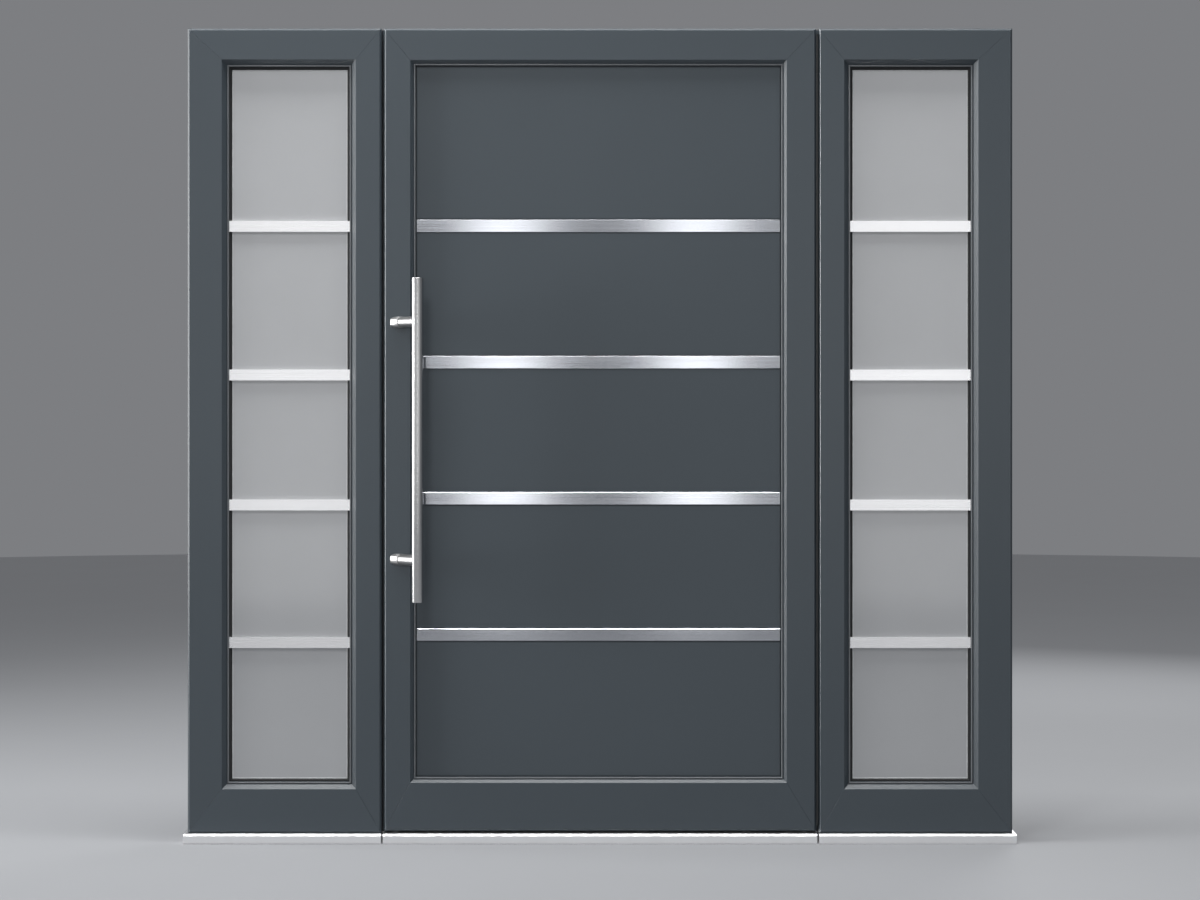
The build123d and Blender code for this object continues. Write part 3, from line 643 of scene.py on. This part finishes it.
# Lock and inside lever
# The lock's faceplate and strike plate are let into the edges, and a lever on a narrow
# backplate stands on the inside of the latch stile. All are satin stainless steel.

SATIN_STEEL = brushed_metal("satin_lock_steel", (0.55, 0.55, 0.56), roughness=0.30,
                            stretch=(900.0, 900.0, 30.0), depth=0.08, relief=0.000002)
for name in ("lock_faceplate", "strike_plate", "inside_backplate", "inside_lever"):
    finish_node(name, SATIN_STEEL)


# Lock bolts
# In the two windows of the faceplate stand the ends of the drawn-back bolts: the bevelled
# latch above, and the square deadbolt below.

BOLT_HALF_WIDTH = 0.0056
BOLT_EDGE = 0.0006
BOLT_SETBACK = 0.0004
BOLT_CORE = 0.4
LOCK_HEIGHT = 1.050
LATCH_LEVEL, LATCH_HALF_LENGTH, LATCH_BEVEL = LOCK_HEIGHT + 0.030, 0.0165, 0.0018
DEADBOLT_LEVEL, DEADBOLT_HALF_LENGTH = LOCK_HEIGHT - 0.050, 0.0215
plate_low, plate_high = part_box("lock_faceplate")
plate_middle_y = (plate_low.y + plate_high.y) / 2


def bolt_end(name, middle_z, half_length, bevel):
    """A bolt's end as rows of squarish rings, from the middle of its face out and back to its root.

    Ring points at angle a are the fourth roots of cosine and sine a, which is nearly a rectangle.
    Its edge is a quarter round, and the bevel sinks one side in proportion to its distance.
    """
    angle = np.linspace(0, 2 * np.pi, 64, endpoint=False)
    across = np.sign(np.cos(angle)) * np.abs(np.cos(angle)) ** 0.25
    along = np.sign(np.sin(angle)) * np.abs(np.sin(angle)) ** 0.25
    turn = np.linspace(0, np.pi / 2, 6)
    shrink = np.concatenate([[BOLT_CORE * BOLT_HALF_WIDTH], BOLT_EDGE * (1 - np.sin(turn)), [0.0]])[:, None]
    back = np.concatenate([[0.0], BOLT_EDGE * (1 - np.cos(turn)), [0.0]])[:, None]
    y = (BOLT_HALF_WIDTH - shrink) * across
    z = (half_length - shrink) * along
    x = BOLT_SETBACK + back + bevel * np.clip(y / BOLT_HALF_WIDTH, 0, 1)
    x[-1] = plate_high.x - plate_low.x
    mesh = shell_mesh(name, np.stack([plate_low.x + x, plate_middle_y + y, middle_z + z], axis=-1))
    place_mesh(mesh, "leaf", SATIN_STEEL)


bolt_end("latch_bolt_end", LATCH_LEVEL, LATCH_HALF_LENGTH, LATCH_BEVEL)
bolt_end("deadbolt_end", DEADBOLT_LEVEL, DEADBOLT_HALF_LENGTH, 0.0)


# Screws
# Countersunk steel screws with a cross recess hold the lock plates and the inside backplate.
# Smaller ones of the same kind hold the two plates of the hinge along their whole length.

CROSS_ARM = 0.11
CROSS_REACH = 0.52
CROSS_DEPTH = 0.30
ARM_STEEPNESS = 60
REACH_STEEPNESS = 40
DOME = 1 / 12
INNER_RING = 0.08


def screw_heads(name, body, material, radius, places, outward, across):
    """Screw heads in one mesh, each a disc whose height is a function of radius and angle.

    The head is a low dome that falls to its rim as the fourth power of the radius. Inside the
    arms of the cross, and nearer than their reach, it drops by the recess with a soft step.
    """
    angle = np.linspace(0, 2 * np.pi, 40, endpoint=False)
    distance = np.append(np.linspace(INNER_RING, 1.0, 12), 1.0)[:, None]
    u, v = distance * np.cos(angle), distance * np.sin(angle)
    in_arm = 1 / (1 + np.exp(ARM_STEEPNESS * (np.minimum(np.abs(u), np.abs(v)) - CROSS_ARM)))
    in_reach = 1 / (1 + np.exp(REACH_STEEPNESS * (distance - CROSS_REACH)))
    height = DOME * (1 - distance ** 4) - CROSS_DEPTH * in_arm * in_reach
    height[-1] = -CROSS_DEPTH
    axes = np.array([across, np.cross(outward, across), outward], float)
    mesh = shell_mesh(name, radius * np.stack([u, v, height], axis=-1) @ axes, places=places)
    place_mesh(mesh, body, material)


PLATE_SCREW_RADIUS = 0.0036
PLATE_SCREW_REACH = 0.108
BACKPLATE_SCREW_INSET = 0.016
screw_levels = (LOCK_HEIGHT - PLATE_SCREW_REACH, LOCK_HEIGHT + PLATE_SCREW_REACH)
strike_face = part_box("strike_plate")[1].x
screw_heads("faceplate_screws", "leaf", SATIN_STEEL, PLATE_SCREW_RADIUS,
            [(plate_low.x, plate_middle_y, level) for level in screw_levels], (-1, 0, 0), (0, 0, 1))
screw_heads("strike_plate_screws", "frame", SATIN_STEEL, PLATE_SCREW_RADIUS,
            [(strike_face, plate_middle_y, level) for level in screw_levels], (1, 0, 0), (0, 0, 1))
low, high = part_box("inside_backplate")
backplate_levels = (low.z + BACKPLATE_SCREW_INSET, high.z - BACKPLATE_SCREW_INSET)
screw_heads("backplate_screws", "leaf", SATIN_STEEL, PLATE_SCREW_RADIUS,
            [((low.x + high.x) / 2, high.y, level) for level in backplate_levels], (0, 1, 0), (1, 0, 0))


# Continuous hinge
# A slim hinge of black-coated steel runs the height of the right-hand joint. Its knuckles
# turn on one long pin.

HINGE_COAT = coated("black_hinge_coat", (0.012, 0.013, 0.014),
                    roughness=0.35, mottle=0.15, relief=0.00001)
for name in ("hinge_leaf_half", "hinge_frame_half", "hinge_pin"):
    finish_node(name, HINGE_COAT)

HINGE_PLATE = 0.0015
HINGE_SCREW_RADIUS = 0.0030
HINGE_SCREW_COUNT = 20
HINGE_SCREW_DEPTH = 0.0175
for body, node, outward in (("leaf", "hinge_leaf_half", 1), ("frame", "hinge_frame_half", -1)):
    low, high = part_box(node)
    plate_face = low.x + HINGE_PLATE if outward > 0 else high.x - HINGE_PLATE
    pitch = (high.z - low.z) / HINGE_SCREW_COUNT
    levels = low.z + pitch * (np.arange(HINGE_SCREW_COUNT) + 0.5)
    screw_heads(f"{node}_screws", body, HINGE_COAT, HINGE_SCREW_RADIUS,
                [(plate_face, HINGE_SCREW_DEPTH, level) for level in levels], (outward, 0, 0), (0, 0, 1))


# Studio
# A wide pale floor under the set, with a pale surround that metal and glass show too. Soft lamps
# stand before, above, behind and to both sides, and a row at the left brings out the edges.

STUDIO_TINT = (0.93, 0.95, 1.0, 1.0)
WORLD_STRENGTH = 0.22
FLOOR_COLOUR = (0.235, 0.24, 0.25)
FLOOR_ROUGHNESS = 0.8
FLOOR_GLOSS = 0.15
FLOOR_RADIUS = 14.0
FLOOR_DROP = 0.0005
FLOOR_THICKNESS = 0.05
FLOOR_GLOW = 0.09


def studio_floor():
    """A thin round slab of floor just under the threshold, as an upper and a lower ring of points.

    A faint even glow, seen by the camera and in mirrors only, keeps it pale far from the lamps.
    """
    angle = np.linspace(0, 2 * np.pi, 64, endpoint=False)
    ring = np.stack([FLOOR_RADIUS * np.cos(angle), FLOOR_RADIUS * np.sin(angle), 0 * angle], axis=-1)
    mesh = shell_mesh("studio_floor", np.stack([ring - (0, 0, FLOOR_DROP), ring - (0, 0, FLOOR_THICKNESS)]))
    floor = bpy.data.objects.new("studio_floor", mesh)
    scene.collection.objects.link(floor)
    material, tree, shader, place = start_material("pale_floor")
    cast = add_node(tree, "ShaderNodeTexNoise",
                    {"Vector": place, "Scale": 1.5, "Detail": 4.0, "Roughness": 0.5})
    tone = add_node(tree, "ShaderNodeMapRange",
                    {"Value": cast.outputs["Fac"], "To Min": 0.97, "To Max": 1.03})
    shade = add_node(tree, "ShaderNodeVectorMath",
                     {0: FLOOR_COLOUR, "Scale": tone.outputs[0]}, operation="SCALE")
    tree.links.new(shade.outputs[0], shader.inputs["Base Color"])
    shader.inputs["Roughness"].default_value = FLOOR_ROUGHNESS
    shader.inputs["Specular IOR Level"].default_value = FLOOR_GLOSS
    ray = add_node(tree, "ShaderNodeLightPath").outputs
    mirrored = add_node(tree, "ShaderNodeMath", {0: ray["Is Glossy Ray"], 1: ray["Is Transmission Ray"]},
                        operation="ADD")
    seen = add_node(tree, "ShaderNodeMath", {0: ray["Is Camera Ray"], 1: mirrored.outputs[0]},
                    operation="ADD", use_clamp=True)
    glow = add_node(tree, "ShaderNodeMath", {0: seen.outputs[0], 1: FLOOR_GLOW}, operation="MULTIPLY")
    shader.inputs["Emission Color"].default_value = STUDIO_TINT
    tree.links.new(glow.outputs[0], shader.inputs["Emission Strength"])
    mesh.materials.append(material)
    floor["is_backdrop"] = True


studio_floor()
OPEN, SHADED, NARROW = 180.0, 120.0, 100.0


def soft_box(name, place, aim, size, power, spread=OPEN):
    """A rectangular lamp at a place, facing a point, with its width, height and spread in degrees."""
    data = bpy.data.lights.new(name, "AREA")
    data.shape, data.energy = "RECTANGLE", power
    data.size, data.size_y = size
    data.spread = np.radians(spread)
    lamp = bpy.data.objects.new(name, data)
    lamp.location = place
    lamp.rotation_euler = (Vector(aim) - Vector(place)).to_track_quat("-Z", "Y").to_euler()
    lamp.visible_camera = False
    scene.collection.objects.link(lamp)
    return lamp


def light_only(lamp, name, members, state="INCLUDE"):
    """Lets a lamp light only these nodes, or all but these where the state is EXCLUDE."""
    linked = bpy.data.collections.new(name)
    for member in members:
        linked.objects.link(nodes[member])
    for entry in linked.collection_objects:
        entry.light_linking.link_state = state
    lamp.light_linking.receiver_collection = linked


DOOR_MIDDLE = (0.0, 0.0, 1.05)
WALL_STILE = "left_outer_stile"

soft_box("key_box", (-1.3, -4.0, 5.0), DOOR_MIDDLE, size=(1.0, 1.0), power=84.0)
soft_box("side_box", (-7.0, -1.1, 2.9), (-0.4, 0.0, 2.4), size=(2.6, 5.0), power=60.0, spread=NARROW)
edge_box = soft_box("edge_box", (-7.0, 0.4, 1.6), (-0.4, 0.1, 1.2), size=(2.4, 4.0), power=220.0,
                    spread=NARROW)
soft_box("left_fill_box", (-4.2, -4.4, 1.5), (-0.4, 0.0, 1.2), size=(3.4, 2.6), power=14.0)
soft_box("right_fill_box", (3.4, -5.0, 1.5), (0.4, 0.0, 1.2), size=(3.4, 2.6), power=12.0)
soft_box("top_box", (-0.4, -0.55, 5.0), (-0.4, -0.1, 0.3), size=(4.0, 0.9), power=100.0, spread=SHADED)
for hand, sign in (("left", -1), ("right", 1)):
    soft_box(f"front_{hand}_box", (sign * 0.54, -7.6, 1.75), (sign * 0.25, 0.0, 1.75),
             size=(0.40, 3.4), power=8.5)
    soft_box(f"wide_{hand}_box", (sign * 1.80, -7.6, 1.75), (sign * 0.80, 0.0, 1.75),
             size=(1.00, 3.4), power=17.0)
soft_box("inside_box", (2.4, 4.5, 2.6), DOOR_MIDDLE, size=(2.0, 2.0), power=90.0)
rim_box = soft_box("rim_box", (-7.0, -1.0, 1.3), (-0.4, 0.0, 1.1), size=(0.8, 4.0), power=180.0,
                   spread=NARROW)
stile_edge_box = soft_box("stile_edge_box", (-7.0, 1.9, 1.4), (-1.07, 0.0, 1.1), size=(1.2, 4.0),
                          power=72.0, spread=NARROW)
stile_fill_box = soft_box("stile_fill_box", (-4.5, -4.0, 1.3), (-1.0, 0.0, 1.1), size=(2.0, 3.0),
                          power=24.0, spread=NARROW)

# The stile at the left wall has two lamps of its own. The edge and rim lamps would whiten its
# flat side in the views from the left.
flush_members = [name for name in nodes.keys() if name.endswith(("_stile", "_rail", "_panel"))]
flush_members.remove(WALL_STILE)
light_only(rim_box, "flush_faces", flush_members)
light_only(edge_box, "all_but_wall_stile", [WALL_STILE], state="EXCLUDE")
light_only(stile_edge_box, "wall_stile", [WALL_STILE])
light_only(stile_fill_box, "wall_stile_face", [WALL_STILE])


def studio_world():
    """A plain pale surround, the same for the camera, for mirrors and for the fill light."""
    world = bpy.data.worlds.new("studio")
    scene.world = world
    world.use_nodes = True
    backdrop = world.node_tree.nodes["Background"]
    backdrop.inputs["Color"].default_value = STUDIO_TINT
    backdrop.inputs["Strength"].default_value = WORLD_STRENGTH


studio_world()
scene.view_settings.view_transform = "Standard"


# Camera
# It stands straight before the leaf, a little over waist height, and sees the whole set. A small
# vertical shift keeps the uprights upright.

CAMERA_DISTANCE = 6.5
CAMERA_HEIGHT = 1.1
SEEN_WIDTH = 3.0936
SEEN_MIDDLE = 1.013
SENSOR = 36.0

camera_data = bpy.data.cameras.new("camera")
camera_data.sensor_width = SENSOR
camera_data.lens = SENSOR * CAMERA_DISTANCE / SEEN_WIDTH
camera_data.shift_y = (SEEN_MIDDLE - CAMERA_HEIGHT) / SEEN_WIDTH
camera = bpy.data.objects.new("camera", camera_data)
camera.location = (0.0, -CAMERA_DISTANCE, CAMERA_HEIGHT)
camera.rotation_euler = (np.pi / 2, 0.0, 0.0)
scene.collection.objects.link(camera)
bpy.context.scene.camera = camera

low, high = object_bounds()
